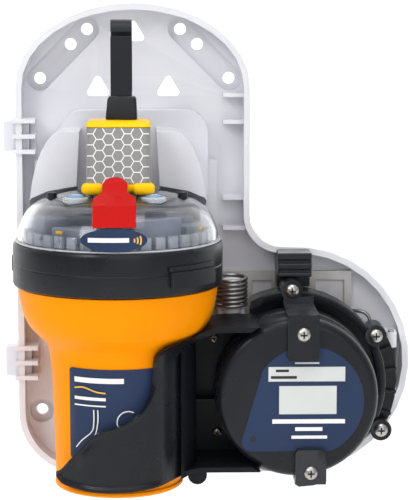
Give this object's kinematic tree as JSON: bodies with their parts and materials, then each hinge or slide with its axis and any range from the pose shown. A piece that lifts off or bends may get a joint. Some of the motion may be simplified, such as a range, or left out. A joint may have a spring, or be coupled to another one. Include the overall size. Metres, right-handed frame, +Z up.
{
  "type": "emergency position beacon",
  "caption": "Orange emergency position beacon with clear dome and folding antenna, held in a white wall bracket by a black hydrostatic release arm.",
  "frame": {"origin": "back face of the tray's centre pad, on the centre line of the tray's arch", "axes": "+X right, +Y into the wall, +Z up"},
  "size_m": [0.2134, 0.1148, 0.2482],
  "materials": {
    "white_plastic": "satin",
    "black_plastic": "satin",
    "black_rubber": "satin",
    "spring_steel": "brushed",
    "plated_screw": "bright",
    "orange_plastic": "satin",
    "yellow_plastic": "satin",
    "red_plastic": "gloss",
    "navy_label": "printed film",
    "clear_plastic": "clear",
    "grey_plastic": "moulded",
    "circuit_board": "coated",
    "battery_wrap": "shrink film",
    "key_plastic": "satin",
    "reflective_film": "retroreflective"
  },
  "bodies": {
    "bracket": {"back_tray": "white_plastic", "dome_cradle": "white_plastic", "cover_clip_upper": "white_plastic", "cover_clip_lower": "white_plastic", "spring_post": "white_plastic", "torsion_spring": "spring_steel", "steel_plate": "spring_steel", "wire_bail": "spring_steel", "quick_release_block": "black_plastic", "module_hinge_pin": "plated_screw"},
    "release_module": {"module_ring": "black_plastic", "ear_screw_1": "plated_screw", "ear_screw_2": "plated_screw", "ear_screw_3": "plated_screw", "hru_case": "black_plastic", "hru_membrane": "black_rubber", "hru_spring": "spring_steel", "hru_cover": "black_plastic", "hru_label": "navy_label", "top_clamp": "black_plastic", "top_clamp_screw": "plated_screw", "bottom_clamp": "black_plastic", "bottom_clamp_screw": "plated_screw", "release_arm": "black_plastic", "arm_screw_1": "plated_screw", "arm_screw_2": "plated_screw"},
    "plunger": {"hru_piston": "grey_plastic"},
    "beacon": {"beacon_body": "orange_plastic", "collar": "black_plastic", "dome_seal": "black_rubber", "clear_dome": "clear_plastic", "chassis": "grey_plastic", "main_board": "circuit_board", "radio_board": "circuit_board", "battery_holder": "grey_plastic", "battery_cell_1": "battery_wrap", "battery_cell_2": "battery_wrap", "battery_cell_3": "battery_wrap", "gnss_antenna": "grey_plastic", "strobe_lamp": "yellow_plastic", "water_contact_left": "black_plastic", "water_contact_right": "black_plastic", "name_plate": "navy_label", "body_label": "navy_label", "antenna_tower": "yellow_plastic", "reflective_sleeve": "reflective_film", "antenna_boot": "black_rubber", "blade_stem": "black_rubber"},
    "test_key": {"test_button": "key_plastic"},
    "power_key": {"power_button": "key_plastic"},
    "latch": {"safety_latch": "red_plastic"},
    "antenna_tip": {"blade_tip": "black_rubber"}
  },
  "joints": [
    {"name": "module_swing", "type": "hinge", "parent": "bracket", "child": "release_module", "pos_m": [0.1352, -0.027, -0.058], "axis": [0, 0, 1], "range_deg": [0, 100]},
    {"name": "beacon_slide", "type": "slide", "parent": "bracket", "child": "beacon", "axis": [0, -1, 0], "range_m": [0, 0.09]},
    {"name": "antenna_unfold", "type": "hinge", "parent": "beacon", "child": "antenna_tip", "pos_m": [-0.0051, -0.0642, 0.118], "axis": [1, 0, 0], "range_deg": [0, 132]},
    {"name": "latch_lift", "type": "hinge", "parent": "beacon", "child": "latch", "pos_m": [-0.0079, -0.0882, 0.046], "axis": [-1, 0, 0], "range_deg": [0, 70]},
    {"name": "test_press", "type": "slide", "parent": "beacon", "child": "test_key", "axis": [0, 0, -1], "range_m": [0, 0.0015], "stiffness_N_per_m": 400},
    {"name": "power_press", "type": "slide", "parent": "beacon", "child": "power_key", "axis": [0, 0, -1], "range_m": [0, 0.0015], "stiffness_N_per_m": 400},
    {"name": "plunger_push", "type": "slide", "parent": "release_module", "child": "plunger", "axis": [0, 1, 0], "range_m": [0, 0.0015], "stiffness_N_per_m": 800}
  ],
  "couplings": [
    {"joint": "beacon_slide", "follows": "module_swing", "m_per_rad": 0.05},
    {"joint": "antenna_unfold", "follows": "module_swing", "ratio": 1.3}
  ]
}
